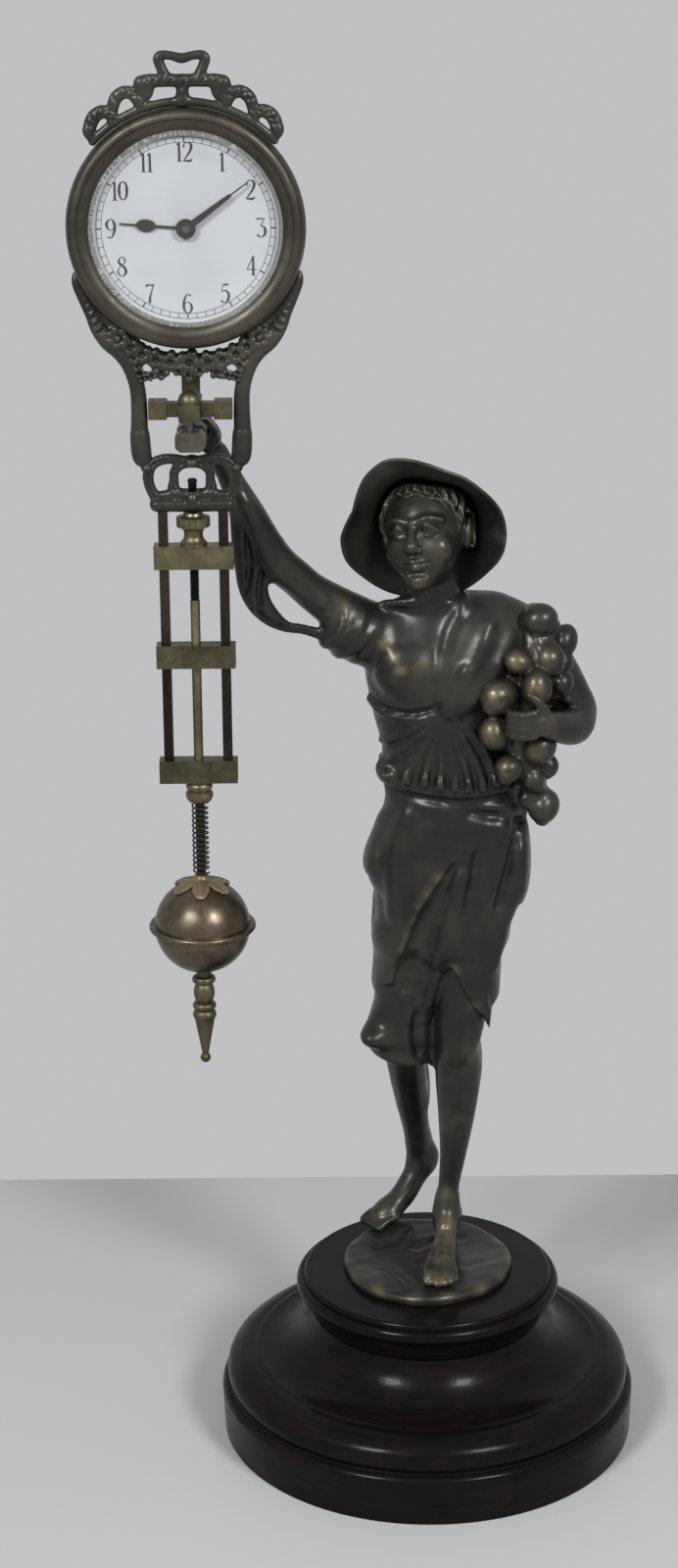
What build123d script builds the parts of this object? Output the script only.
"""Swinging mystery clock: a bronze boy on a turned plinth holds up a clock with a gridiron pendulum.

Frame: +Z up, +X to the viewer's right, the dial faces -Y, origin at the middle of the felt's underside.
All sizes are millimetres.
"""
import os
from math import copysign, cos, pi, radians, sin, sqrt

from build123d import *

# Turned plinth
FELT_R = 76.0
FELT_T = 1.3
FELT_RECESS = 1.0
FOOT_R = 83.2
FOOT_TAPER = 0.6
FOOT_WALL = 17.5
SHOULDER = 3.0
TORUS_R = 80.4
TORUS_RISE = 13.0
TORUS_TOP_R = 70.0
COVE_R = 68.4
NECK_R = 46.0
NECK_RISE = 16.4
CAP_NECK_R = 47.2
CAP_NECK_H = 9.6
CAP_RIM_R = 52.6
CAP_RIM_H = 5.4
CAP_STEP_R = 48.6
CAP_STEP_H = 2.2
DOWEL_R = 14.0
DOWEL_H = 8.0
BOLT_R = 3.0
BOLT_HEAD_R = 5.0
BOLT_HEAD_H = 5.0
BOLT_POCKET_R = 12.0
BOLT_POCKET_H = 18.0
WASHER_R = 9.0
WASHER_T = 1.6
BOLT_CLEAR = 0.3

# Ground disc and figure
GROUND_R = 34.6
GROUND_H = 4.6
GROUND_EDGE = 2.0
PIVOT_RISE = 354.0
SHIRT_TOP = 275.0

# Place of the pivot in plan
PIVOT_X = -85.0
PIVOT_Y = -45.0

# Clock head; depths are measured forward from the pendulum's middle plane
CLOCK_RISE = 63.0
DRUM_R = 38.8
DRUM_WALL = 1.2
DRUM_BACK = -25.0
DRUM_FRONT = 2.0
COVER_T = 1.2
BEZEL_R = 41.25
BEZEL_DEPTH = 8.0
BEZEL_START = 1.0
BEZEL_SIGHT_R = 33.4
SIGHT_WALL = 1.5
GLASS_T = 1.3
GLASS_CROWN = 3.6
GLASS_SEAT = 5.4
DIAL_T = 0.8
DIAL_HOLE_R = 2.4
DIAL_FOOT_R = 0.9
DIAL_FOOT_PLACE = 31.0
SEAT_GAP = 0.05
CASE_GAP = 0.1

# Hands
MINUTE_LENGTH = 26.5
HOUR_LENGTH = 22.9
HAND_T = 0.5
HUB_R = 3.4
MINUTE_ANGLE = 54.0
HOUR_ANGLE = 274.5
HOUR_HAND_AT = 2.5
MINUTE_HAND_AT = 3.7

# Movement
PLATE_R = 29.0
PLATE_T = 1.2
FRONT_PLATE_AT = -2.2
BACK_PLATE_AT = -16.2
PILLAR_R = 1.8
PILLAR_PLACE = 26.6
PILLAR_ANGLES = (38.0, 168.0, 278.0, 336.0)
ARBOR_R = 1.2
PIVOT_R = 0.8
RUNNING = 0.05
WHEEL_T = 0.8
LEAVES = 8
TEETH = 48
GREAT_MODULE = 0.54
CENTRE_MODULE = 0.515
THIRD_MODULE = 0.425
MOTION_MODULE = 0.36
CANNON_TEETH = 10
MINUTE_WHEEL_TEETH = 30
MINUTE_PINION_TEETH = 8
HOUR_WHEEL_TEETH = 32
ESCAPE_TEETH = 15
ESCAPE_R = 8.5
BARREL_R = 10.4
BARREL_H = 8.4
BARREL_WALL = 0.8
BARREL_ANGLE = 225.0
THIRD_ANGLE = 20.0
ESCAPE_ANGLE = 110.0
MINUTE_WHEEL_ANGLE = 100.0
KEY_SPAN = 13.0
KEY_T = 2.2
KNOB_R = 4.6
KNOB_H = 3.0
BACK_STANDOFF = 1.2
INNER_ROD = 36.0
INNER_BOB_R = 5.0
PALLET_ARBOR = (6.0, 26.2)

# Crest and lyre
CREST_T = 3.6
CREST_RISE = 59.2
LYRE_T = 6.4
LYRE_GAP = 29.4
LYRE_ARM = 6.0
LYRE_FOOT = 22.0
LYRE_TIP_RISE = 48.0

# Crossbar, saddle and bracket
BAR = 5.0
COLLAR = 6.6
COLLAR_LENGTH = 6.4
SADDLE_W = 7.2
POINT_SPREAD = 7.0
POINT_R = 1.0
POINT_TAPER = 2.0
CUP_MOUTH = 2.6
CUP_PLAY = 0.15
LUG_DROP = 3.0
BRACKET_TOP = -6.4
BRACKET_H = 7.0
BRACKET_BLOCK_W = 10.4
BRACKET_BLOCK_D = 7.6
BRACKET_ARM_W = 6.0
BRACKET_ARM_H = 3.8
BRACKET_TAIL = 11.0
SCREW_R = 1.5

# Gridiron pendulum; drops are measured down from the pivot
RIBBON_T = 4.6
RIBBON_TOP = 15.9
RIBBON_H = 21.0
RIBBON_BLOCK_W = 29.2
RIBBON_BLOCK_H = 5.6
RIBBON_HOLE_R = 4.4
NUT_R = 6.0
NUT_H = 11.7
NUT_PLAY = 0.08
NUT_FLUTES = 18
ROD_SPREAD = 21.4
ROD_SIDE = 3.4
CROSS_W = 28.4
CROSS_D = 7.0
CROSS_H = 8.4
CROSS_PITCH_UPPER = 36.6
CROSS_PITCH_LOWER = 43.4
GROOVE = 0.5
GROOVE_PLACE = 4.5
LOWER_COLLAR_R = 4.9
LOWER_COLLAR_H = 8.0
BOB_ROD_R = 1.65
ROD_PLAY = 0.1
ROD_TIP = 28.6
THREAD_LENGTH = 40.5
THREAD_RELIEF = 0.1
SPRING_R = 2.8
SPRING_WIRE = 0.7
SPRING_LENGTH = 28.0
SPRING_TURNS = 14
CAP_BOSS_R = 3.4
CAP_BOSS_H = 2.6
LEAF_T = 0.9
LEAF_REACH = 10.6
LEAVES_ROUND = 6
BALL_R = 17.7
BALL_WALL = 1.2
FLANGE_R = 19.8
FLANGE_H = 2.2
FINIAL_H = 37.4
FINIAL_R = 4.4
FINIAL_BALL_R = 1.95

# Levels that follow from the sizes above
FOOT_BOTTOM = FELT_T - FELT_RECESS
SHOULDER_Z = FOOT_BOTTOM + FOOT_WALL
TORUS_Z = SHOULDER_Z + SHOULDER
COVE_Z = TORUS_Z + TORUS_RISE
FOOT_TOP = COVE_Z + NECK_RISE
CAP_TOP = FOOT_TOP + CAP_NECK_H + CAP_RIM_H + CAP_STEP_H
GROUND_TOP = CAP_TOP + GROUND_H
PIVOT_Z = GROUND_TOP + PIVOT_RISE
RIBBON_BOTTOM = RIBBON_TOP + RIBBON_H
UPPER_CROSS = RIBBON_BOTTOM + NUT_H + 2 * NUT_PLAY
MIDDLE_CROSS = UPPER_CROSS + CROSS_PITCH_UPPER
LOWER_CROSS = MIDDLE_CROSS + CROSS_PITCH_LOWER
COLLAR_BOTTOM = LOWER_CROSS + CROSS_H + LOWER_COLLAR_H
BOB_DROP = COLLAR_BOTTOM + SPRING_LENGTH + CAP_BOSS_H + BALL_R
DIAL_BACK = DRUM_FRONT - DIAL_T
DRUM_BORE = DRUM_R - DRUM_WALL
FRONT_PLATE_FACE = FRONT_PLATE_AT + PLATE_T
BACK_PLATE_FACE = BACK_PLATE_AT + PLATE_T
ARBOR_END = DRUM_BACK - COVER_T - BACK_STANDOFF

CLOCK_PLACE = Pos(PIVOT_X, PIVOT_Y, PIVOT_Z + CLOCK_RISE) * Rot(90, 0, 0)
HANG_PLACE = Pos(PIVOT_X, PIVOT_Y, PIVOT_Z) * Rot(90, 0, 0)
PENDULUM_PLACE = Pos(PIVOT_X, PIVOT_Y, PIVOT_Z)
FIGURE_PLACE = Pos(0, 0, GROUND_TOP)


def outline(start, *moves):
    """Closed face of (x, z) points: a point is a straight move, a pair of points an arc through the first."""
    edges = []
    here = start
    for move in moves + (start,):
        if isinstance(move[0], tuple):
            via, there = move
            edges.append(ThreePointArc((here[0], 0, here[1]), (via[0], 0, via[1]), (there[0], 0, there[1])))
        else:
            there = move
            edges.append(Line((here[0], 0, here[1]), (there[0], 0, there[1])))
        here = there
    return make_face(edges)


def turned(start, *moves):
    """Solid of revolution about Z from an outline of (radius, height) points."""
    return revolve(outline(start, *moves), Axis.Z)


def crown(radius, edge, rise):
    """Point half way along the arc of a ball's cap, from its edge at a radius to its top on the axis."""
    ball = (radius ** 2 + rise ** 2) / (2 * rise)
    half = radius / 2
    return (half, edge + rise - ball + copysign(sqrt(ball ** 2 - half ** 2), rise))


def sheet(face, low, thick):
    """Flat outline raised along Z from a height."""
    return Pos(0, 0, low) * extrude(face, thick, dir=(0, 0, 1))


def rod(radius, low, high, place=(0.0, 0.0)):
    """Round bar along Z between two heights."""
    return Pos(place[0], place[1], low) * extrude(Circle(radius), high - low)


def ring(outer, inner, low, high):
    """Plain ring along Z between two heights."""
    return Pos(0, 0, low) * extrude(Circle(outer) - Circle(inner), high - low)


def block(width, depth, low, high, x=0.0, y=0.0):
    """Upright box centred in plan, between two heights."""
    return Pos(x, y, (low + high) / 2) * Box(width, depth, high - low)


def polar(radius, angle):
    """Point at a radius and an angle in degrees."""
    return (radius * cos(radians(angle)), radius * sin(radians(angle)))


def plus(point, other):
    """Sum of two plane points."""
    return (point[0] + other[0], point[1] + other[1])


def limb(stations):
    """Loft through ellipses set square to a path of (x, y, z, half width, half depth) stations."""
    sections = []
    last = len(stations) - 1
    for i, (x, y, z, wide, deep) in enumerate(stations):
        before = Vector(*stations[max(i - 1, 0)][:3])
        after = Vector(*stations[min(i + 1, last)][:3])
        along = (after - before).normalized()
        side = Vector(1, 0, 0) if abs(along.X) < 0.8 else Vector(0, 1, 0)
        plane = Plane(origin=(x, y, z), x_dir=side - along * side.dot(along), z_dir=along)
        sections.append(plane * Ellipse(wide, deep))
    return loft(sections)


# Plinth


def felt_pad():
    return rod(FELT_R, 0, FELT_T)


def plinth_foot():
    bulge = (TORUS_R + TORUS_TOP_R) / 2
    body = turned(
        (0, FOOT_BOTTOM),
        (FOOT_R - FOOT_TAPER, FOOT_BOTTOM),
        (FOOT_R, SHOULDER_Z - 1),
        ((FOOT_R - 0.4, SHOULDER_Z + 1.0), (FOOT_R - SHOULDER + 0.4, TORUS_Z - 0.6)),
        (TORUS_R - 0.6, TORUS_Z),
        ((TORUS_R + 0.5, TORUS_Z + 3.0), (bulge + 2.4, COVE_Z - 3.0)),
        ((bulge - 1.2, COVE_Z - 1.0), (TORUS_TOP_R, COVE_Z - 0.4)),
        (COVE_R, COVE_Z),
        ((NECK_R + 7.0, COVE_Z + 0.3 * NECK_RISE), (NECK_R, FOOT_TOP)),
        (0, FOOT_TOP),
    )
    recess = rod(FELT_R, 0, FELT_T)
    pocket = rod(BOLT_POCKET_R, 0, BOLT_POCKET_H)
    shank = rod(BOLT_R + BOLT_CLEAR, 0, FOOT_TOP)
    dowel = rod(DOWEL_R, FOOT_TOP - DOWEL_H, FOOT_TOP)
    return body - recess - pocket - shank - dowel


def plinth_cap():
    rim_low = FOOT_TOP + CAP_NECK_H
    rim_high = rim_low + CAP_RIM_H
    body = turned(
        (0, FOOT_TOP),
        (NECK_R - 0.8, FOOT_TOP),
        (CAP_NECK_R - 0.4, FOOT_TOP + 1.2),
        ((CAP_NECK_R + 0.6, FOOT_TOP + CAP_NECK_H / 2), (CAP_NECK_R + 1.6, rim_low)),
        (CAP_RIM_R - 1.6, rim_low),
        ((CAP_RIM_R, rim_low + CAP_RIM_H / 2), (CAP_RIM_R - 1.4, rim_high)),
        (CAP_STEP_R + 1.0, rim_high),
        ((CAP_STEP_R + 0.9, rim_high + CAP_STEP_H / 2), (CAP_STEP_R, CAP_TOP)),
        (0, CAP_TOP),
    )
    dowel = rod(DOWEL_R, FOOT_TOP - DOWEL_H, FOOT_TOP)
    return body + dowel - rod(BOLT_R + BOLT_CLEAR, FOOT_TOP - DOWEL_H, CAP_TOP)


def fixing_bolt():
    head_top = BOLT_POCKET_H - WASHER_T
    head = Pos(0, 0, head_top - BOLT_HEAD_H) * extrude(RegularPolygon(BOLT_HEAD_R, 6), BOLT_HEAD_H)
    return head + rod(BOLT_R, head_top, CAP_TOP + GROUND_H / 2)


def fixing_washer():
    return ring(WASHER_R, BOLT_R + BOLT_CLEAR, BOLT_POCKET_H - WASHER_T, BOLT_POCKET_H)


def ground_disc():
    body = turned(
        (0, CAP_TOP),
        (GROUND_R, CAP_TOP),
        ((GROUND_R - 0.3, GROUND_TOP - GROUND_EDGE), (GROUND_R - GROUND_EDGE, GROUND_TOP - 0.4)),
        (GROUND_R - 2 * GROUND_EDGE, GROUND_TOP),
        (0, GROUND_TOP),
    )
    return body - rod(BOLT_R, CAP_TOP, CAP_TOP + GROUND_H / 2)


# Figure: every height is measured up from the top of the ground disc

SHOULDER_RIGHT = (-15.0, 1.0, SHIRT_TOP - 13.0)
SHOULDER_LEFT = (28.0, 2.0, SHIRT_TOP - 13.0)
ELBOW_LEFT = (57.0, 0.0, SHIRT_TOP - 50.0)
HAND_LEFT = (37.0, -25.0, SHIRT_TOP - 42.0)
HIP = (8.0, 6.0, SHIRT_TOP - 107.0)
HEAD_CENTRE = (-1.0, -3.0, SHIRT_TOP + 24.0)
HAT_CENTRE = (-3.4, -8.0, SHIRT_TOP + 25.0)
HAT_AXIS = (0.10, 0.88, 0.46)
HAT_BRIM_R = 29.5
HAT_DEPTH = 34.0
HAT_T = 1.4
ARM_SAG = 20.0
ARM_STATIONS = ((0.0, 0.0, 12.0), (0.22, 0.50, 9.0), (0.42, 0.85, 6.8), (0.61, 1.0, 6.8), (0.76, 0.65, 5.8),
                (0.885, 0.28, 4.4), (1.0, 0.0, 6.0))
SLEEVE_STATIONS = ((0.04, 0.1, 12.6), (0.16, 0.62, 13.0), (0.30, 0.95, 11.4))
FLAP_T = 4.4


def torso():
    return limb([
        (10.3, 5.0, SHIRT_TOP - 84.0, 27.0, 18.0),
        (10.0, 4.0, SHIRT_TOP - 79.0, 25.5, 17.0),
        (9.0, 3.0, SHIRT_TOP - 62.0, 26.0, 17.5),
        (7.5, 2.0, SHIRT_TOP - 46.0, 28.0, 18.5),
        (6.0, 1.0, SHIRT_TOP - 28.0, 30.0, 18.5),
        (6.0, 1.0, SHIRT_TOP - 14.0, 30.0, 16.0),
        (4.0, 0.0, SHIRT_TOP - 5.0, 21.0, 12.0),
        (1.5, -1.0, SHIRT_TOP + 1.0, 11.0, 10.0),
        (0.0, -2.0, SHIRT_TOP + 10.0, 9.6, 9.8),
    ])


def trousers():
    seat = limb([
        (10.3, 5.0, HIP[2] + 30.0, 26.6, 18.0),
        (9.0, 5.0, HIP[2] + 17.0, 28.8, 20.0),
        (HIP[0], HIP[1], HIP[2] + 2.0, 31.2, 22.0),
        (8.0, 7.0, HIP[2] - 14.0, 29.4, 22.0),
        (5.8, 8.0, HIP[2] - 34.0, 27.4, 21.0),
        (4.6, 8.0, HIP[2] - 48.0, 26.0, 20.0),
    ])
    front_leg = limb([
        (13.0, 5.0, HIP[2] - 34.0, 15.0, 17.0),
        (15.4, 4.0, HIP[2] - 54.0, 13.4, 14.0),
        (15.0, 3.0, HIP[2] - 70.0, 12.6, 13.0),
    ])
    rear_leg = limb([
        (-7.0, 10.0, HIP[2] - 34.0, 14.0, 17.0),
        (-9.0, 12.0, HIP[2] - 56.0, 14.0, 15.0),
        (-10.6, 13.0, HIP[2] - 72.0, 15.2, 14.0),
        (-10.0, 14.0, HIP[2] - 84.0, 13.6, 12.6),
    ])
    return seat + front_leg + rear_leg


def front_shank():
    return limb([
        (14.4, 4.0, 112.0, 9.4, 10.0),
        (13.0, 5.0, 98.0, 9.0, 9.6),
        (12.4, 7.0, 76.0, 8.8, 10.0),
        (10.4, 9.0, 46.0, 6.0, 6.8),
        (8.4, 10.0, 22.0, 3.9, 5.0),
        (8.0, 10.0, 10.0, 4.6, 6.4),
    ])


def front_foot():
    return limb([
        (8.2, 18.0, 5.6, 4.0, 5.0),
        (8.0, 12.0, 6.2, 5.0, 6.0),
        (7.4, 0.0, 6.4, 5.0, 6.2),
        (6.0, -14.0, 4.4, 6.6, 4.2),
        (5.6, -22.0, 3.2, 6.2, 3.0),
        (5.5, -26.0, 2.4, 4.6, 2.2),
    ])


def rear_shank():
    return limb([
        (-9.6, 15.0, 98.0, 8.0, 8.4),
        (-7.0, 22.0, 80.0, 7.2, 8.0),
        (-3.4, 32.0, 56.0, 6.6, 7.4),
        (0.4, 40.0, 32.0, 4.0, 4.8),
        (1.4, 41.0, 22.0, 4.4, 5.0),
    ])


def rear_foot():
    return limb([
        (4.6, 44.0, 25.0, 3.6, 4.6),
        (1.0, 41.6, 20.0, 4.8, 5.6),
        (-8.0, 37.0, 11.4, 4.8, 5.4),
        (-16.0, 33.0, 5.0, 5.8, 4.4),
        (-21.0, 31.0, 3.4, 5.4, 3.0),
        (-24.0, 30.0, 2.6, 3.8, 2.2),
    ])


def figure_body():
    body = trousers() + torso()
    for piece in (front_shank(), front_foot(), rear_shank(), rear_foot()):
        body = body + piece
    ground = block(300, 300, -40, 0)
    return FIGURE_PLACE * (body - ground)


def head_plane():
    up = Vector(0.16, 0.20, 0.97).normalized()
    side = Vector(0.96, -0.26, -0.10)
    return Plane(origin=HEAD_CENTRE, x_dir=side - up * side.dot(up), z_dir=up)


def figure_head():
    """Plain egg of a head with a nose, two ears and shallow eye hollows."""
    sections = []
    for height, shift, wide, deep in (
        (-22.0, -9.0, 4.6, 4.6),
        (-17.5, -6.4, 9.4, 9.4),
        (-9.0, -2.0, 13.4, 15.0),
        (0.0, 0.0, 15.4, 18.0),
        (9.0, 1.4, 15.6, 18.4),
        (16.5, 2.0, 12.4, 14.8),
        (21.0, 2.0, 6.0, 7.4),
    ):
        sections.append(Pos(0, shift, height) * Ellipse(wide, deep))
    head = loft(sections)
    nose = limb([
        (0, -16.6, 2.0, 1.6, 1.6),
        (0, -18.6, -3.0, 2.2, 2.2),
        (0, -18.6, -7.0, 3.0, 2.6),
        (0, -15.0, -9.0, 2.4, 1.4),
    ])
    head = head + nose
    for side in (-1, 1):
        ear = Pos(side * 15.2, 2.0, -2.0) * Rot(0, 90, 20 * side) * extrude(Ellipse(5.2, 3.2), 1.6, both=True)
        hollow = Pos(side * 6.2, -19.6, 1.0) * Sphere(4.4)
        head = head - hollow + ear
    return head_plane() * head


def hat_shell():
    depth = HAT_DEPTH
    brim = HAT_BRIM_R
    return turned(
        (brim, 0.0),
        ((brim - 2.2, 0.13 * depth), (brim - 5.4, 0.24 * depth)),
        ((brim - 8.6, 0.48 * depth), (brim - 12.4, 0.78 * depth)),
        (crown(brim - 12.4, 0.78 * depth, 0.22 * depth), (0, depth)),
        (0, depth - HAT_T),
        (crown(brim - 13.8, 0.78 * depth - 0.4, 0.22 * depth - HAT_T + 0.4), (brim - 13.8, 0.78 * depth - 0.4)),
        ((brim - 10.0, 0.48 * depth), (brim - 6.8, 0.24 * depth)),
        ((brim - 3.4, 0.12 * depth), (brim - HAT_T, 0.0)),
    )


def hat_plane():
    return Plane(origin=HAT_CENTRE, x_dir=(1, 0, 0), z_dir=HAT_AXIS)


def bracket_tail_point():
    """Middle of the bracket's tail, seen from the figure."""
    return (PIVOT_X, PIVOT_Y + POINT_SPREAD + BRACKET_BLOCK_D / 2, PIVOT_RISE + BRACKET_TOP - BRACKET_H / 2)


def between(start, end, share):
    """Point on the way from one place to another."""
    return tuple(a + (b - a) * share for a, b in zip(start, end))


def arm_point(share, sag):
    """Point on the way from the raised shoulder to the fist, hanging below the straight line."""
    grip_x, grip_y, grip_z = bracket_tail_point()
    grip = (grip_x + 3.6, grip_y + 7.6, grip_z - 1.6)
    x, y, z = between(SHOULDER_RIGHT, grip, share)
    return (x, y, z - sag)


def raised_arm():
    """Bare arm and fist, a loose rolled sleeve and the torn flap that hangs from the elbow."""
    grip = arm_point(1.0, 0.0)
    elbow = arm_point(0.50, ARM_SAG)
    forearm = arm_point(0.66, 0.85 * ARM_SAG)
    stations = []
    for share, sag, wide in ARM_STATIONS:
        stations.append(arm_point(share, sag * ARM_SAG) + (wide, wide))
    stations.append((grip[0] - 3.0, grip[1] - 3.0, grip[2] + 7.0, 4.4, 4.4))
    arm = limb(stations)
    sleeve_stations = []
    for share, sag, wide in SLEEVE_STATIONS:
        sleeve_stations.append(arm_point(share, sag * ARM_SAG) + (wide, wide))
    arm = arm + limb(sleeve_stations)
    flap = outline(
        (elbow[0] + 12.0, elbow[2] - 8.0),
        ((elbow[0] + 2.0, elbow[2] - 17.0), (elbow[0] - 9.0, elbow[2] - 17.0)),
        ((elbow[0] - 19.0, elbow[2] - 9.0), (elbow[0] - 20.5, elbow[2] + 8.0)),
        ((forearm[0] - 9.0, forearm[2] + 4.0), (forearm[0] - 6.0, forearm[2] + 16.0)),
        (forearm[0], forearm[2] + 2.0),
        (elbow[0], elbow[2]),
    )
    tear = outline(
        (elbow[0] + 5.0, elbow[2] - 8.0),
        ((elbow[0] + 1.0, elbow[2] - 12.0), (elbow[0] - 7.0, elbow[2] - 13.0)),
        ((elbow[0] - 6.0, elbow[2] - 8.0), (elbow[0] - 3.0, elbow[2] - 6.6)),
    )
    hanging = extrude(flap, FLAP_T / 2, both=True) - extrude(tear, 2 * FLAP_T, both=True)
    return FIGURE_PLACE * (arm + Pos(0, forearm[1], 0) * hanging)


def holding_arm():
    mid_upper = between(SHOULDER_LEFT, ELBOW_LEFT, 0.5)
    mid_lower = between(ELBOW_LEFT, HAND_LEFT, 0.5)
    arm = limb([
        SHOULDER_LEFT + (13.0, 12.0),
        (mid_upper[0] + 2.0, mid_upper[1] + 2.0, mid_upper[2] + 2.0, 10.0, 9.6),
        (ELBOW_LEFT[0] - 1.0, ELBOW_LEFT[1] + 2.0, ELBOW_LEFT[2] + 3.0, 8.4, 8.4),
        (mid_lower[0] + 4.0, mid_lower[1] - 3.0, mid_lower[2], 6.6, 6.6),
        (HAND_LEFT[0] + 5.0, HAND_LEFT[1] + 1.0, HAND_LEFT[2], 5.2, 5.2),
        HAND_LEFT + (5.8, 4.6),
        (HAND_LEFT[0] - 6.0, HAND_LEFT[1] + 1.6, HAND_LEFT[2] - 0.6, 4.6, 3.2),
    ])
    return FIGURE_PLACE * arm


def onion(radius):
    """Round bulb with a short neck."""
    shoulder = polar(radius, 70.0)
    neck = 0.14 * radius
    top = 1.42 * radius
    return turned((0, -radius), ((radius, 0), shoulder), (neck, top), (0, top))


CRUMB = 1.0
ONIONS = (
    (39.5, -8.0, -9.0, 6.2), (49.0, -2.0, -20.4, 5.2), (44.4, -13.0, -22.6, 5.8), (32.0, -15.0, -22.0, 5.2),
    (39.0, -19.0, -31.8, 5.8), (48.6, -11.0, -30.4, 4.8), (24.4, -18.0, -34.4, 7.0), (23.8, -17.6, -50.0, 5.8),
    (40.4, -16.0, -56.0, 6.2), (29.2, -17.0, -63.4, 5.2), (38.6, -13.0, -70.0, 4.8), (43.4, -9.0, -82.4, 5.8),
)


def onion_bunch(arm):
    """Bulbs on a plaited stem, each cut where it lies against the holding arm."""
    bunch = FIGURE_PLACE * limb([
        (37.0, -11.0, SHIRT_TOP - 8.0, 3.4, 3.4),
        (37.2, -13.4, SHIRT_TOP - 24.0, 4.4, 4.4),
        (34.6, -13.0, SHIRT_TOP - 54.0, 4.6, 4.6),
        (38.0, -11.6, SHIRT_TOP - 70.0, 4.0, 4.0),
        (42.4, -9.0, SHIRT_TOP - 82.0, 3.0, 3.0),
    ])
    for i, (x, y, drop, radius) in enumerate(ONIONS):
        lean = Rot(150 + 17 * (i % 3), 23 * (i % 4) - 30, 0)
        bunch = bunch + (FIGURE_PLACE * Pos(x, y, SHIRT_TOP + drop) * lean * onion(radius) - arm)
    return bunch


def figure_pieces():
    """The castings of the figure, each cut back where the next one is let in."""
    body = figure_body()
    head = figure_head()
    hat = hat_plane() * hat_shell()
    head = FIGURE_PLACE * (head - hat)
    hat = FIGURE_PLACE * hat
    head = head - body
    hat = hat - body
    bracket = hand_bracket()
    raised = raised_arm() - body - bracket - bracket_screw()
    raised = max(raised.solids(), key=lambda s: s.volume)
    holding = holding_arm() - body
    holding = max(holding.solids(), key=lambda s: s.volume)
    bunch = onion_bunch(holding) - body
    bunch = Compound(children=[bulb for bulb in bunch.solids() if bulb.volume > CRUMB])
    return {
        "figure_body": body,
        "figure_head": max(head.solids(), key=lambda s: s.volume),
        "hat": max(hat.solids(), key=lambda s: s.volume),
        "raised_arm": raised,
        "holding_arm": holding,
        "onion_bunch": bunch,
    }


# Bracket and points: plane coordinates across and up from the pivot, depth forward


def hand_bracket():
    low = BRACKET_TOP - BRACKET_H
    shape = None
    for depth in (POINT_SPREAD, -POINT_SPREAD):
        piece = Pos(0, BRACKET_TOP - BRACKET_H / 2, depth) * Box(BRACKET_BLOCK_W, BRACKET_H, BRACKET_BLOCK_D)
        piece = chamfer(piece.edges().filter_by(Axis.Z), 1.6)
        shape = piece if shape is None else shape + piece
    reach = POINT_SPREAD + BRACKET_BLOCK_D / 2
    arm_y = low + BRACKET_ARM_H / 2
    shape = shape + Pos(0, arm_y, 0) * Box(BRACKET_ARM_W, BRACKET_ARM_H, 2 * reach - 1.0)
    tail_mid = -reach - BRACKET_TAIL / 2
    shape = shape + Pos(0, arm_y + 1.0, tail_mid) * Box(BRACKET_ARM_W, BRACKET_ARM_H + 2.0, BRACKET_TAIL)
    for depth in (POINT_SPREAD, -POINT_SPREAD):
        shape = shape - Pos(0, 0, depth) * Rot(-90, 0, 0) * rod(POINT_R, BRACKET_TOP - 3.0, BRACKET_TOP)
    screw_at = -reach - BRACKET_TAIL * 0.7
    shape = shape - Pos(0, 0, screw_at) * Rot(-90, 0, 0) * rod(SCREW_R, low, BRACKET_TOP + 2.0)
    return HANG_PLACE * shape


def pivot_points():
    pins = []
    for depth in (POINT_SPREAD, -POINT_SPREAD):
        pin = turned((0, BRACKET_TOP - 3.0), (POINT_R, BRACKET_TOP - 3.0), (POINT_R, -POINT_TAPER), (0, 0))
        pins.append(Pos(0, 0, depth) * Rot(-90, 0, 0) * pin)
    return HANG_PLACE * Compound(children=pins)


def bracket_screw():
    """Screw up through the fist into the bracket's tail."""
    screw_at = -POINT_SPREAD - BRACKET_BLOCK_D / 2 - BRACKET_TAIL * 0.7
    low = BRACKET_TOP - BRACKET_H
    shank = rod(SCREW_R, low, low + BRACKET_ARM_H + 2.0)
    return HANG_PLACE * Pos(0, 0, screw_at) * Rot(-90, 0, 0) * shank


def crossbar():
    return HANG_PLACE * Box(LYRE_GAP, BAR, BAR)


def crossbar_collars():
    collars = []
    for side in (-1, 1):
        at = side * (LYRE_GAP - COLLAR_LENGTH) / 2
        collars.append(Pos(at, 0, 0) * (Box(COLLAR_LENGTH, COLLAR, COLLAR) - Box(COLLAR_LENGTH, BAR, BAR)))
    return HANG_PLACE * Compound(children=collars)


def pivot_saddle():
    """Block on the bar with a round knob in front, a plate behind and a cup under each."""
    reach = POINT_SPREAD + CUP_MOUTH + 1.4
    lug_h = COLLAR / 2 + LUG_DROP
    body = Pos(0, COLLAR / 2 - lug_h / 2, 0) * Box(SADDLE_W, lug_h, 2 * reach)
    knob = Pos(0, 0, POINT_SPREAD) * Rot(-90, 0, 0) * turned(
        (0, -LUG_DROP),
        (CUP_MOUTH + 1.4, -LUG_DROP),
        (CUP_MOUTH + 1.4, 4.4),
        (crown(CUP_MOUTH + 1.4, 4.4, 3.6), (0, 8.0)),
    )
    plate = Pos(0, 4.8, -POINT_SPREAD) * Box(SADDLE_W - 0.8, 15.6, 2.8)
    body = body + knob + plate
    body = body - Box(SADDLE_W + 1, BAR, BAR)
    under = Pos(0, -LUG_DROP - BAR / 2, 0) * Box(SADDLE_W + 1, BAR, BAR)
    body = body - under
    for depth in (POINT_SPREAD, -POINT_SPREAD):
        cup = turned((0, -LUG_DROP), (CUP_MOUTH, -LUG_DROP), (0, CUP_PLAY))
        body = body - Pos(0, 0, depth) * Rot(-90, 0, 0) * cup
    return HANG_PLACE * body


# Clock head: plane coordinates from the dial's centre, depth forward


def case_drum():
    return CLOCK_PLACE * ring(DRUM_R, DRUM_BORE, DRUM_BACK, DRUM_FRONT)


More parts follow.
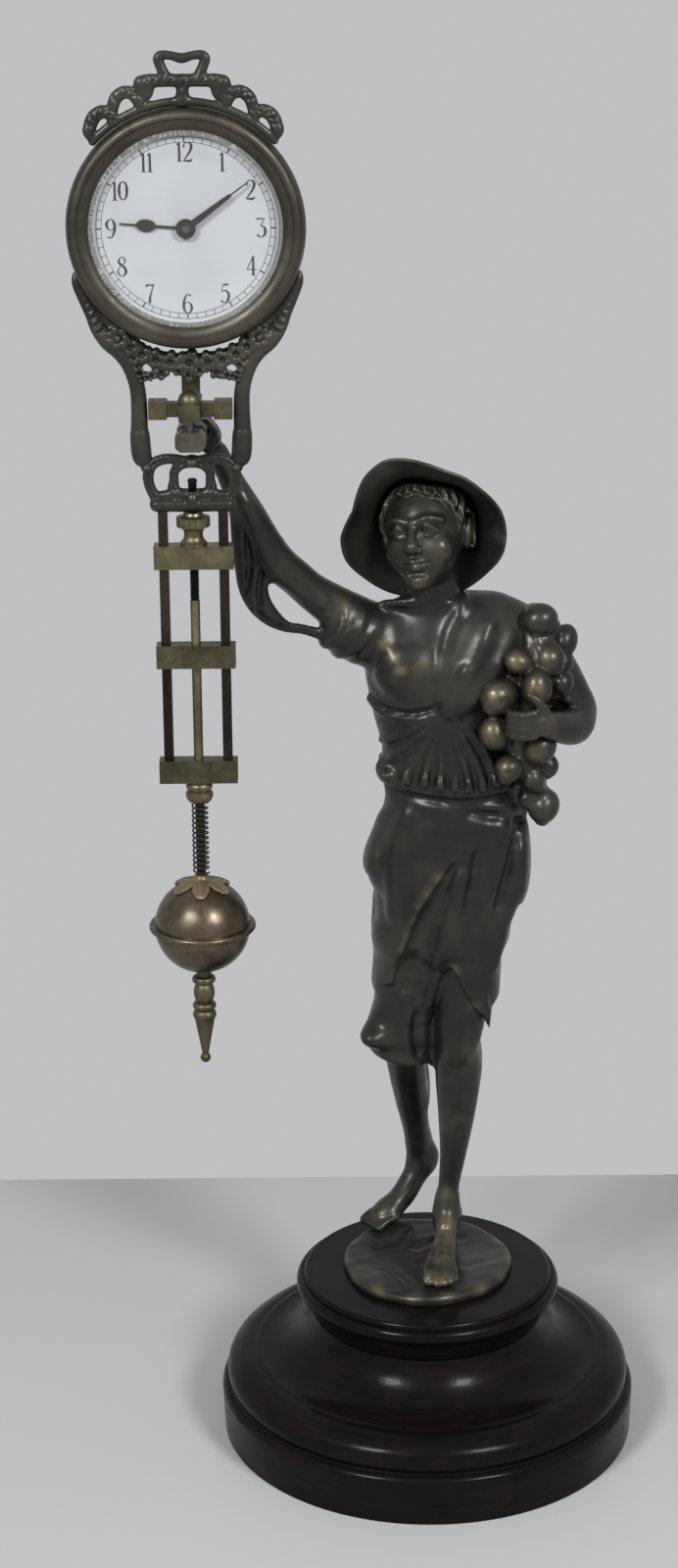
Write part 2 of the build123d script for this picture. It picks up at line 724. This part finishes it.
def back_cover():
    cover = rod(DRUM_R, DRUM_BACK - COVER_T, DRUM_BACK)
    cover = cover - rod(ARBOR_R + 4 * RUNNING, DRUM_BACK - COVER_T, DRUM_BACK)
    cover = cover - rod(ARBOR_R + 4 * RUNNING, DRUM_BACK - COVER_T, DRUM_BACK, BARREL_AT)
    return CLOCK_PLACE * cover


def bezel():
    front = BEZEL_START + BEZEL_DEPTH
    bore = DRUM_R + SEAT_GAP
    return CLOCK_PLACE * turned(
        (bore, BEZEL_START),
        (BEZEL_R - 0.3, BEZEL_START),
        ((BEZEL_R, BEZEL_START + 2.4), (BEZEL_R - 0.6, front - 3.0)),
        ((BEZEL_R - 1.7, front - 0.5), (BEZEL_R - 3.8, front)),
        (BEZEL_R - 4.4, front - 0.7),
        ((BEZEL_SIGHT_R + 1.6, front - 1.1), (BEZEL_SIGHT_R + 0.1, GLASS_SEAT + GLASS_T)),
        (BEZEL_SIGHT_R, GLASS_SEAT - 0.4),
        (bore, DRUM_FRONT + 0.4),
    )


def sight_ring():
    outer = BEZEL_SIGHT_R - SEAT_GAP
    return CLOCK_PLACE * turned(
        (outer - 0.5 * SIGHT_WALL, DRUM_FRONT),
        (outer, DRUM_FRONT),
        (outer, GLASS_SEAT),
        (outer - SIGHT_WALL, GLASS_SEAT),
    )


def glass():
    edge = BEZEL_SIGHT_R - SEAT_GAP
    inner = edge - SIGHT_WALL
    top = GLASS_SEAT + GLASS_CROWN
    return CLOCK_PLACE * turned(
        (0, top),
        (crown(inner, GLASS_SEAT, GLASS_CROWN), (inner, GLASS_SEAT)),
        (edge, GLASS_SEAT),
        (edge, GLASS_SEAT + GLASS_T),
        (crown(edge, GLASS_SEAT + GLASS_T, GLASS_CROWN), (0, top + GLASS_T)),
    )


def dial():
    face = ring(DRUM_BORE - SEAT_GAP, DIAL_HOLE_R, DIAL_BACK, DRUM_FRONT)
    for angle in (30, 150, 270):
        face = face + rod(DIAL_FOOT_R, FRONT_PLATE_FACE, DIAL_BACK, polar(DIAL_FOOT_PLACE, angle))
    return CLOCK_PLACE * face


def minute_hand():
    bar_end = 0.70 * MINUTE_LENGTH
    blade = Polygon((-1.3, 0), (1.3, 0), (0.7, bar_end), (0.25, bar_end + 1.2), (0.2, MINUTE_LENGTH),
                    (-0.2, MINUTE_LENGTH), (-0.25, bar_end + 1.2), (-0.7, bar_end), align=None)
    hand = sheet(blade + Circle(HUB_R) - Circle(ARBOR_R), 0, HAND_T)
    hub = ring(0.6 * HUB_R, ARBOR_R, 0, 2 * HAND_T)
    return CLOCK_PLACE * Pos(0, 0, MINUTE_HAND_AT) * Rot(0, 0, -MINUTE_ANGLE) * (hand + hub)


def hour_hand():
    bulge_at = 0.60 * HOUR_LENGTH
    stem = Polygon((-0.5, 0), (0.5, 0), (0.2, HOUR_LENGTH), (-0.2, HOUR_LENGTH), align=None)
    oval = Pos(0, bulge_at) * Ellipse(2.1, 3.4)
    pipe = HOUR_PIPE_R
    hand = sheet(stem + oval + Circle(pipe + 1.1) - Circle(pipe), 0, HAND_T)
    return CLOCK_PLACE * Pos(0, 0, HOUR_HAND_AT) * Rot(0, 0, -HOUR_ANGLE) * hand


# Movement

HOUR_PIPE_R = ARBOR_R + RUNNING + 0.7
GREAT_DISTANCE = GREAT_MODULE * (TEETH + LEAVES) / 2
CENTRE_DISTANCE = CENTRE_MODULE * (TEETH + LEAVES) / 2
THIRD_DISTANCE = THIRD_MODULE * (TEETH + LEAVES) / 2
MOTION_DISTANCE = MOTION_MODULE * (CANNON_TEETH + MINUTE_WHEEL_TEETH) / 2
BARREL_AT = polar(GREAT_DISTANCE, BARREL_ANGLE)
THIRD_AT = polar(CENTRE_DISTANCE, THIRD_ANGLE)
ESCAPE_AT = plus(THIRD_AT, polar(THIRD_DISTANCE, ESCAPE_ANGLE))
MINUTE_WHEEL_AT = polar(MOTION_DISTANCE, MINUTE_WHEEL_ANGLE)
GREAT_LAYER = FRONT_PLATE_AT - 0.4 - WHEEL_T
CENTRE_LAYER = BACK_PLATE_FACE + 0.6
THIRD_LAYER = (FRONT_PLATE_AT + BACK_PLATE_FACE) / 2
ESCAPE_LAYER = THIRD_LAYER - 2.4
MOTION_T = (DIAL_BACK - FRONT_PLATE_FACE) / 3
CANNON_LAYER = FRONT_PLATE_FACE + 0.2
HOUR_LAYER = CANNON_LAYER + MOTION_T + 0.3


def toothed(teeth, module, gap_towards=None):
    """Face of a gear with slim straight-sided teeth; a gap, or else a tooth, looks along the given angle."""
    radius = teeth * module / 2
    pitch = 2 * pi / teeth
    start = 0.0 if gap_towards is None else radians(gap_towards) + pitch / 2
    tip, root = radius + 0.75 * module, radius - 1.15 * module
    points = []
    for i in range(teeth):
        middle = start + i * pitch
        for reach, share in ((root, -0.27), (tip, -0.09), (tip, 0.09), (root, 0.27)):
            angle = middle + share * pitch
            points.append((reach * cos(angle), reach * sin(angle)))
    return Polygon(*points, align=None)


def tooth_towards(teeth, module, angle):
    """Gear face with a tooth along the given angle."""
    return toothed(teeth, module, angle + 180.0 / teeth)


def wheel(face, bore, low, place=(0.0, 0.0), thick=WHEEL_T):
    """Gear of a face with a bore, standing at a place and a depth."""
    return Pos(place[0], place[1], 0) * sheet(face - Circle(bore), low, thick)


def front_plate():
    plate = rod(DRUM_BORE - SEAT_GAP, FRONT_PLATE_AT, FRONT_PLATE_FACE)
    plate = plate - rod(ARBOR_R + RUNNING, FRONT_PLATE_AT, FRONT_PLATE_FACE)
    for place in (BARREL_AT, THIRD_AT, ESCAPE_AT, PALLET_ARBOR):
        plate = plate - rod(PIVOT_R + RUNNING, FRONT_PLATE_AT, FRONT_PLATE_FACE, place)
    stud = rod(PIVOT_R, FRONT_PLATE_AT, HOUR_LAYER + MOTION_T, MINUTE_WHEEL_AT)
    return CLOCK_PLACE * (plate + stud)


def back_plate():
    plate = rod(PLATE_R, BACK_PLATE_AT, BACK_PLATE_FACE)
    plate = plate - rod(ARBOR_R + RUNNING, BACK_PLATE_AT, BACK_PLATE_FACE)
    plate = plate - rod(ARBOR_R + RUNNING, BACK_PLATE_AT, BACK_PLATE_FACE, BARREL_AT)
    for place in (THIRD_AT, ESCAPE_AT, PALLET_ARBOR):
        plate = plate - rod(PIVOT_R + RUNNING, BACK_PLATE_AT, BACK_PLATE_FACE, place)
    return CLOCK_PLACE * plate


def plate_pillars():
    pillars = []
    for angle in PILLAR_ANGLES:
        pillars.append(rod(PILLAR_R, BACK_PLATE_FACE, FRONT_PLATE_AT, polar(PILLAR_PLACE, angle)))
    return CLOCK_PLACE * Compound(children=pillars)


def centre_arbor():
    """Arbor with the centre pinion behind the front plate and the cannon pinion before it."""
    arbor = rod(ARBOR_R, ARBOR_END - KNOB_H, MINUTE_HAND_AT + 2 * HAND_T)
    pinion = wheel(toothed(LEAVES, GREAT_MODULE, BARREL_ANGLE), ARBOR_R, GREAT_LAYER - 0.2, thick=WHEEL_T + 0.4)
    cannon = wheel(toothed(CANNON_TEETH, MOTION_MODULE, MINUTE_WHEEL_ANGLE), ARBOR_R, CANNON_LAYER, thick=MOTION_T)
    return CLOCK_PLACE * (arbor + pinion + cannon)


def centre_wheel():
    face = tooth_towards(TEETH, CENTRE_MODULE, THIRD_ANGLE)
    return CLOCK_PLACE * wheel(face, ARBOR_R, CENTRE_LAYER)


def set_knob():
    return CLOCK_PLACE * (ring(KNOB_R, ARBOR_R, ARBOR_END - KNOB_H, ARBOR_END))


def hour_wheel():
    towards = tooth_towards(HOUR_WHEEL_TEETH, MOTION_MODULE, MINUTE_WHEEL_ANGLE)
    gear = wheel(towards, ARBOR_R + RUNNING, HOUR_LAYER, thick=MOTION_T)
    pipe = ring(HOUR_PIPE_R, ARBOR_R + RUNNING, HOUR_LAYER, HOUR_HAND_AT + HAND_T)
    return CLOCK_PLACE * (gear + pipe)


def minute_wheel():
    bore = PIVOT_R + RUNNING
    back = MINUTE_WHEEL_ANGLE + 180.0
    gear = wheel(tooth_towards(MINUTE_WHEEL_TEETH, MOTION_MODULE, back), bore, CANNON_LAYER, MINUTE_WHEEL_AT, MOTION_T)
    height = HOUR_LAYER + MOTION_T - CANNON_LAYER
    pinion = wheel(toothed(MINUTE_PINION_TEETH, MOTION_MODULE, back), bore, CANNON_LAYER, MINUTE_WHEEL_AT, height)
    return CLOCK_PLACE * (gear + pinion)


def mainspring_barrel():
    face = tooth_towards(TEETH, GREAT_MODULE, BARREL_ANGLE + 180.0)
    bore = ARBOR_R + RUNNING
    great = wheel(face, bore, GREAT_LAYER, BARREL_AT)
    low = GREAT_LAYER - BARREL_H
    drum = Pos(*BARREL_AT, 0) * ring(BARREL_R, BARREL_R - BARREL_WALL, low, GREAT_LAYER)
    lid = Pos(*BARREL_AT, 0) * ring(BARREL_R, bore, low, low + BARREL_WALL)
    return CLOCK_PLACE * (great + drum + lid)


def mainspring():
    """Wound strip, as the ring that it fills."""
    low = GREAT_LAYER - BARREL_H + BARREL_WALL + 0.3
    coil = ring(BARREL_R - BARREL_WALL - SEAT_GAP, 0.5 * BARREL_R, low, GREAT_LAYER - 0.3)
    return CLOCK_PLACE * Pos(*BARREL_AT, 0) * coil


def barrel_arbor():
    arbor = rod(ARBOR_R, ARBOR_END - 2.0, FRONT_PLATE_AT, BARREL_AT)
    pivot = rod(PIVOT_R, FRONT_PLATE_AT, FRONT_PLATE_FACE, BARREL_AT)
    return CLOCK_PLACE * (arbor + pivot)


def winding_key():
    """Two-winged key on the barrel arbor."""
    wing = Circle(KEY_SPAN / 4) - Circle(KEY_SPAN / 8)
    wings = Pos(0.21 * KEY_SPAN, 0) * wing + Pos(-0.21 * KEY_SPAN, 0) * wing
    hub_end = ARBOR_END - 2.0
    handle = Rot(90, 0, 0) * extrude(wings, KEY_T / 2, both=True)
    key = Pos(0, 0, hub_end - KEY_SPAN / 4) * handle + rod(ARBOR_R + 1.0, hub_end - 2.0, ARBOR_END)
    key = key - rod(ARBOR_R, hub_end, ARBOR_END)
    return CLOCK_PLACE * Pos(*BARREL_AT, 0) * key


def geared_arbor(place):
    """Arbor between the plates with a thin pivot at each end."""
    body = rod(ARBOR_R, BACK_PLATE_FACE + 0.2, FRONT_PLATE_AT - 0.2, place)
    return body + rod(PIVOT_R, BACK_PLATE_AT, FRONT_PLATE_FACE, place)


def third_wheel():
    pinion_face = toothed(LEAVES, CENTRE_MODULE, THIRD_ANGLE + 180.0)
    pinion = wheel(pinion_face, 0.5 * ARBOR_R, CENTRE_LAYER - 0.1, THIRD_AT, WHEEL_T + 0.2)
    gear = wheel(tooth_towards(TEETH, THIRD_MODULE, ESCAPE_ANGLE), 0.5 * ARBOR_R, THIRD_LAYER, THIRD_AT)
    return CLOCK_PLACE * (geared_arbor(THIRD_AT) + pinion + gear)


def escape_wheel():
    pinion_face = toothed(LEAVES, THIRD_MODULE, ESCAPE_ANGLE + 180.0)
    pinion = wheel(pinion_face, 0.5 * ARBOR_R, THIRD_LAYER - 0.2, ESCAPE_AT, WHEEL_T + 0.4)
    points = []
    for i in range(ESCAPE_TEETH):
        at = 360.0 * i / ESCAPE_TEETH
        points.append(polar(0.78 * ESCAPE_R, at))
        points.append(polar(ESCAPE_R, at + 7.0))
        points.append(polar(ESCAPE_R, at + 9.0))
        points.append(polar(0.78 * ESCAPE_R, at + 12.0))
    gear = wheel(Polygon(*points, align=None), 0.5 * ARBOR_R, ESCAPE_LAYER, ESCAPE_AT)
    return CLOCK_PLACE * (geared_arbor(ESCAPE_AT) + pinion + gear)


def inner_pendulum():
    """Short pendulum behind the back plate, with the pallets on its arbor between the plates."""
    rod_back = BACK_PLATE_AT - 3.0
    arbor = rod(PIVOT_R, rod_back, FRONT_PLATE_FACE, PALLET_ARBOR)
    reach = sqrt((PALLET_ARBOR[0] - ESCAPE_AT[0]) ** 2 + (PALLET_ARBOR[1] - ESCAPE_AT[1]) ** 2) - ESCAPE_R
    anchor = Pos(0, -0.2 * reach) * Rectangle(5.0, 0.8 * reach)
    pallets = Pos(*PALLET_ARBOR, ESCAPE_LAYER) * extrude(anchor, WHEEL_T)
    strip_at = rod_back + WHEEL_T / 2
    strip = Pos(PALLET_ARBOR[0], PALLET_ARBOR[1] - INNER_ROD / 2, strip_at) * Box(1.2, INNER_ROD + 1.6, WHEEL_T)
    bob = rod(INNER_BOB_R, rod_back - 1.2, rod_back + 1.8, (PALLET_ARBOR[0], PALLET_ARBOR[1] - INNER_ROD))
    return CLOCK_PLACE * (arbor + pallets + strip + bob)


# Crest, lyre and ribbon: cast ornament cut from sheet outlines


def crest():
    """Bow over a band of ribbon loops that rides on the bezel."""
    seat = BEZEL_R + CASE_GAP
    top = CREST_RISE
    band = Circle(seat + 3.4) - Circle(seat)
    keep = Pos(0, seat) * Rectangle(1.52 * seat, 0.72 * seat)
    body = band & keep
    body = body + Pos(0, seat + 4.6) * Ellipse(13.4, 5.4)
    body = body + Polygon((-7.2, seat + 8.0), (7.2, seat + 8.0), (9.6, top), (8.0, top + 0.8), (-8.0, top + 0.8),
                          (-9.6, top), align=None)
    for side in (-1, 1):
        body = body + Pos(side * 19.0, 42.6) * Ellipse(5.0, 5.2)
        body = body + Pos(side * 28.0, 37.8) * Ellipse(4.2, 4.2)
        body = body + Pos(side * 32.0, 33.4) * Circle(2.6)
    holes = Polygon((-5.4, seat + 10.4), (5.4, seat + 10.4), (7.0, top - 2.6), (0, top - 4.2), (-7.0, top - 2.6),
                    align=None)
    for side in (-1, 1):
        holes = holes + Pos(side * 5.0, seat + 4.6) * Ellipse(3.4, 1.9)
        holes = holes + Pos(side * 19.4, 42.6) * Ellipse(2.3, 2.2)
        holes = holes + Pos(side * 26.8, 37.4) * Circle(1.5)
    body = body - holes - Circle(seat)
    middle = BEZEL_START + BEZEL_DEPTH / 2
    return CLOCK_PLACE * sheet(body, middle - CREST_T / 2, CREST_T)


def lyre_frame():
    """Two arms that cup the bezel, a garland between them and a window round the crossbar."""
    inner = LYRE_GAP / 2
    outer = inner + LYRE_ARM
    tip = LYRE_TIP_RISE
    half = make_face([
        Spline((outer, 2.0), (outer + 0.6, 9.0), (outer + 3.7, 17.0), (0.755 * BEZEL_R, 23.2), (0.84 * BEZEL_R, 29.0),
               (0.925 * BEZEL_R, tip - 9.0), (BEZEL_R - 1.3, tip - 3.0), (BEZEL_R - 1.8, tip)),
        Line((BEZEL_R - 1.8, tip), (BEZEL_R - 4.0, tip - 0.6)),
        Spline((BEZEL_R - 4.0, tip - 0.6), (0.6 * BEZEL_R, 27.0), (inner + 1.0, 16.0), (inner, 8.0)),
        Line((inner, 8.0), (inner, -LYRE_FOOT)),
        Line((inner, -LYRE_FOOT), (outer, -LYRE_FOOT)),
        Line((outer, -LYRE_FOOT), (outer, 2.0)),
    ])
    scroll = Pos(outer - 1.6, -LYRE_FOOT + 1.4) * Circle(2.6)
    arm = half + scroll
    arm = arm - Pos(inner - 4.0, -LYRE_FOOT + 1.4) * Rectangle(8.0, 12.0)
    garland = Pos(0, CLOCK_RISE) * (Circle(BEZEL_R + 6.6) - Circle(BEZEL_R + 2.0))
    garland = garland & Pos(0, CLOCK_RISE - BEZEL_R) * Rectangle(1.25 * BEZEL_R, 0.62 * BEZEL_R)
    for x, drop, radius in ((0.0, 46.6, 5.4), (9.0, 46.8, 4.8), (16.6, 44.6, 5.2), (24.6, 37.4, 5.4)):
        for side in (-1, 1) if x else (1,):
            garland = garland + Pos(side * x, CLOCK_RISE - drop) * Circle(radius)
    shape = arm + mirror(arm, Plane.YZ) + garland
    for side in (-1, 1):
        shape = shape - Pos(side * 14.4, CLOCK_RISE - 48.9) * Circle(1.7)
    shape = shape - Pos(0, CLOCK_RISE) * Circle(BEZEL_R + CASE_GAP)
    return HANG_PLACE * sheet(shape, -LYRE_T / 2, LYRE_T)


def ribbon_casting():
    """Two arched loops of ribbon on a tapered block that carries the gridiron."""
    mid = -RIBBON_TOP - 0.44 * RIBBON_H
    block_top = -RIBBON_BOTTOM + RIBBON_BLOCK_H
    half = RIBBON_BLOCK_W / 2
    shape = Polygon((1.3 - half, -RIBBON_BOTTOM), (half - 1.3, -RIBBON_BOTTOM), (half, block_top), (-half, block_top),
                    align=None)
    for side in (-1, 1):
        shape = shape + Pos(side * 0.58 * half, mid) * Ellipse(0.57 * half, 0.44 * RIBBON_H)
    for side in (-1, 1):
        shape = shape - Pos(side * 0.67 * half, mid + 0.6) * Ellipse(0.21 * half, 0.23 * RIBBON_H)
    shape = shape - Pos(0, mid - 0.4) * Circle(RIBBON_HOLE_R)
    solid = sheet(shape, -RIBBON_T / 2, RIBBON_T)
    solid = solid + Pos(0, -RIBBON_BOTTOM + RIBBON_BLOCK_H / 2, 0) * Box(2 * half - 3, RIBBON_BLOCK_H, CROSS_D)
    solid = HANG_PLACE * solid
    bore = rod(BOB_ROD_R + ROD_PLAY, -RIBBON_BOTTOM, -RIBBON_BOTTOM + RIBBON_BLOCK_H + 3)
    return solid - lyre_frame() - PENDULUM_PLACE * bore - PENDULUM_PLACE * rod_pair()


# Gridiron


def rod_pair():
    low = -LOWER_CROSS - CROSS_H
    high = -RIBBON_BOTTOM + RIBBON_BLOCK_H / 2
    left = block(ROD_SIDE, ROD_SIDE, low, high, -ROD_SPREAD / 2)
    return left + block(ROD_SIDE, ROD_SIDE, low, high, ROD_SPREAD / 2)


def outer_rods():
    return PENDULUM_PLACE * rod_pair()


def crosspiece(drop):
    body = block(CROSS_W, CROSS_D, -drop - CROSS_H, -drop)
    for side in (-1, 1):
        body = body - block(GROOVE, GROOVE, -drop - CROSS_H, -drop, side * GROOVE_PLACE, -CROSS_D / 2)
    body = body - rod(BOB_ROD_R + ROD_PLAY, -drop - CROSS_H, -drop)
    return PENDULUM_PLACE * (body - rod_pair())


def lower_collar():
    top = -LOWER_CROSS - CROSS_H
    bore = BOB_ROD_R + ROD_PLAY
    r = LOWER_COLLAR_R
    h = LOWER_COLLAR_H
    return PENDULUM_PLACE * turned(
        (bore, top),
        (0.7 * r, top),
        ((r, top - 0.2 * h), (0.8 * r, top - 0.42 * h)),
        (r, top - 0.52 * h),
        ((0.98 * r, top - 0.8 * h), (0.7 * r, top - h)),
        (bore, top - h),
    )


def rating_nut():
    """Knurled nut with a waist and a flared foot that bears on the upper crosspiece."""
    bottom = -UPPER_CROSS + NUT_PLAY
    bore = BOB_ROD_R + ROD_PLAY
    h = NUT_H
    body = turned(
        (bore, bottom),
        (0.80 * NUT_R, bottom),
        (0.80 * NUT_R, bottom + 0.08 * h),
        ((0.56 * NUT_R, bottom + 0.30 * h), (0.72 * NUT_R, bottom + 0.52 * h)),
        (NUT_R, bottom + 0.58 * h),
        (NUT_R, bottom + 0.86 * h),
        (0.62 * NUT_R, bottom + 0.92 * h),
        (0.56 * NUT_R, bottom + h),
        (bore, bottom + h),
    )
    flute = Pos(NUT_R, 0, 0) * rod(0.35, bottom + 0.57 * h, bottom + 0.87 * h)
    for i in range(NUT_FLUTES):
        body = body - Rot(0, 0, 360.0 * i / NUT_FLUTES) * flute
    return PENDULUM_PLACE * body


def bob_rod():
    top = -ROD_TIP
    thread_end = top - THREAD_LENGTH
    plain = rod(BOB_ROD_R, -BOB_DROP + BALL_R / 2, thread_end)
    return PENDULUM_PLACE * (plain + rod(BOB_ROD_R - THREAD_RELIEF, thread_end, top))


def biarc(start, start_way, end, end_way):
    """Two arcs that leave one point along a direction and reach another along a second one."""
    way = end - start
    both = start_way + end_way
    a = 2 * (1 - start_way.dot(end_way))
    b = 2 * way.dot(both)
    reach = (-b + sqrt(b * b + 4 * a * way.dot(way))) / (2 * a)
    first = start + start_way * reach
    second = end - end_way * reach
    middle = (first + second) * 0.5
    return [TangentArc(start, middle, tangent=start_way), TangentArc(middle, end, tangent=second - first)]


def spring_path():
    """Upright ends of one wire diameter, joined by half turns of a helix."""
    top = -COLLAR_BOTTOM
    bottom = top - SPRING_LENGTH
    lead = 2.4 * SPRING_WIRE
    run = SPRING_LENGTH - 2 * lead
    pitch = run / SPRING_TURNS
    climb = pitch / (2 * pi)

    def point(turn):
        angle = 2 * pi * turn
        return Vector(SPRING_R * cos(angle), SPRING_R * sin(angle), top - lead - pitch * turn)

    def heading(turn):
        angle = 2 * pi * turn
        return Vector(-SPRING_R * sin(angle), SPRING_R * cos(angle), -climb).normalized()

    down = Vector(0, 0, -1)
    start = Vector(SPRING_R * cos(-0.7), SPRING_R * sin(-0.7), top)
    end = Vector(SPRING_R * cos(0.7), SPRING_R * sin(0.7), bottom)
    start_in = start + down * SPRING_WIRE
    end_in = end - down * SPRING_WIRE
    edges = [Line(start, start_in)]
    edges += biarc(start_in, down, point(0), heading(0))
    for half in range(2 * SPRING_TURNS):
        edges += biarc(point(half / 2), heading(half / 2), point((half + 1) / 2), heading((half + 1) / 2))
    edges += biarc(point(SPRING_TURNS), heading(SPRING_TURNS), end_in, down)
    edges.append(Line(end_in, end))
    return edges


def spring_gap(edges):
    """Least room between the wire and itself, measured on points half a turn or more apart."""
    points = []
    lengths = []
    total = 0.0
    for edge in edges:
        for share in (0.0, 0.25, 0.5, 0.75):
            points.append(edge.position_at(share))
            lengths.append(total + share * edge.length)
        total += edge.length
    least = total
    apart = pi * SPRING_R
    for i, first in enumerate(points):
        for j in range(i):
            if lengths[i] - lengths[j] > apart:
                least = min(least, (first - points[j]).length)
    return least - SPRING_WIRE


def bob_spring():
    edges = spring_path()
    print("bob spring least gap to itself", round(spring_gap(edges), 3))
    path = Wire(edges)
    section = Plane(origin=path @ 0, z_dir=path % 0) * Circle(SPRING_WIRE / 2)
    return PENDULUM_PLACE * sweep(section, path=path)


def leaf_cap():
    """Cup of leaves on the ball, with a boss under the spring."""
    ball_top = -BOB_DROP + BALL_R
    dome = Pos(0, 0, -BOB_DROP) * Sphere(BALL_R + LEAF_T) - Pos(0, 0, -BOB_DROP) * Sphere(BALL_R + SEAT_GAP)
    lobes = Circle(0.62 * LEAF_REACH)
    for i in range(LEAVES_ROUND):
        lobes = lobes + Rot(0, 0, 360.0 * i / LEAVES_ROUND) * Pos(0.66 * LEAF_REACH, 0) * Ellipse(0.36 * LEAF_REACH,
                                                                                                 0.27 * LEAF_REACH)
    cap = dome & Pos(0, 0, -BOB_DROP) * extrude(lobes, 2 * BALL_R)
    boss = rod(CAP_BOSS_R, ball_top - 0.5, ball_top + CAP_BOSS_H) - Pos(0, 0, -BOB_DROP) * Sphere(BALL_R + SEAT_GAP)
    return PENDULUM_PLACE * (cap + boss - rod(BOB_ROD_R, -BOB_DROP, -BOB_DROP + 2 * BALL_R))


def bob_upper_shell():
    shell = Sphere(BALL_R) - Sphere(BALL_R - BALL_WALL)
    shell = shell & block(4 * BALL_R, 4 * BALL_R, FLANGE_H / 2, 2 * BALL_R)
    return PENDULUM_PLACE * Pos(0, 0, -BOB_DROP) * (shell - rod(BOB_ROD_R, 0, 2 * BALL_R))


def bob_lower_shell():
    shell = Sphere(BALL_R) - Sphere(BALL_R - BALL_WALL)
    shell = shell & block(4 * BALL_R, 4 * BALL_R, -2 * BALL_R, FLANGE_H / 2)
    edge = FLANGE_R
    flange = turned(
        (BALL_R - BALL_WALL / 2, -FLANGE_H / 2),
        (edge - 0.8, -FLANGE_H / 2),
        ((edge, 0), (edge - 0.8, FLANGE_H / 2)),
        (BALL_R - BALL_WALL / 2, FLANGE_H / 2),
    )
    return PENDULUM_PLACE * Pos(0, 0, -BOB_DROP) * (shell + flange)


def bob_weight():
    weight = Sphere(BALL_R - BALL_WALL - SEAT_GAP) - rod(BOB_ROD_R, BALL_R / 2, 2 * BALL_R)
    return PENDULUM_PLACE * Pos(0, 0, -BOB_DROP) * weight


def finial():
    top = -BOB_DROP - BALL_R
    r = FINIAL_R
    h = FINIAL_H
    ball = FINIAL_BALL_R
    body = turned(
        (0, top + 0.6),
        (0.62 * r, top + 0.6),
        (0.62 * r, top - 0.06 * h),
        ((r, top - 0.10 * h), (0.66 * r, top - 0.14 * h)),
        ((0.90 * r, top - 0.24 * h), (0.66 * r, top - 0.34 * h)),
        ((r, top - 0.38 * h), (0.72 * r, top - 0.42 * h)),
        ((r, top - 0.47 * h), (0.86 * r, top - 0.52 * h)),
        (0.6 * ball, top - h + 1.8 * ball),
        ((ball, top - h + ball), (0, top - h)),
    )
    return PENDULUM_PLACE * (body - Pos(0, 0, -BOB_DROP) * Sphere(BALL_R))


NODES = {
    "felt_pad": felt_pad,
    "plinth_foot": plinth_foot,
    "plinth_cap": plinth_cap,
    "fixing_bolt": fixing_bolt,
    "fixing_washer": fixing_washer,
    "ground_disc": ground_disc,
    "hand_bracket": hand_bracket,
    "pivot_points": pivot_points,
    "bracket_screw": bracket_screw,
    "crossbar": crossbar,
    "crossbar_collars": crossbar_collars,
    "pivot_saddle": pivot_saddle,
    "case_drum": case_drum,
    "back_cover": back_cover,
    "bezel": bezel,
    "sight_ring": sight_ring,
    "glass": glass,
    "dial": dial,
    "minute_hand": minute_hand,
    "hour_hand": hour_hand,
    "front_plate": front_plate,
    "back_plate": back_plate,
    "plate_pillars": plate_pillars,
    "centre_arbor": centre_arbor,
    "centre_wheel": centre_wheel,
    "set_knob": set_knob,
    "hour_wheel": hour_wheel,
    "minute_wheel": minute_wheel,
    "mainspring_barrel": mainspring_barrel,
    "mainspring": mainspring,
    "barrel_arbor": barrel_arbor,
    "winding_key": winding_key,
    "third_wheel": third_wheel,
    "escape_wheel": escape_wheel,
    "inner_pendulum": inner_pendulum,
    "crest": crest,
    "lyre_frame": lyre_frame,
    "ribbon_casting": ribbon_casting,
    "outer_rods": outer_rods,
    "upper_crosspiece": lambda: crosspiece(UPPER_CROSS),
    "middle_crosspiece": lambda: crosspiece(MIDDLE_CROSS),
    "lower_crosspiece": lambda: crosspiece(LOWER_CROSS),
    "lower_collar": lower_collar,
    "rating_nut": rating_nut,
    "bob_rod": bob_rod,
    "bob_spring": bob_spring,
    "leaf_cap": leaf_cap,
    "bob_upper_shell": bob_upper_shell,
    "bob_lower_shell": bob_lower_shell,
    "bob_weight": bob_weight,
    "finial": finial,
}


def main():
    os.makedirs("parts", exist_ok=True)
    for name, make in NODES.items():
        export_step(make(), f"parts/{name}.step")
    for name, shape in figure_pieces().items():
        export_step(shape, f"parts/{name}.step")


if __name__ == "__main__":
    main()
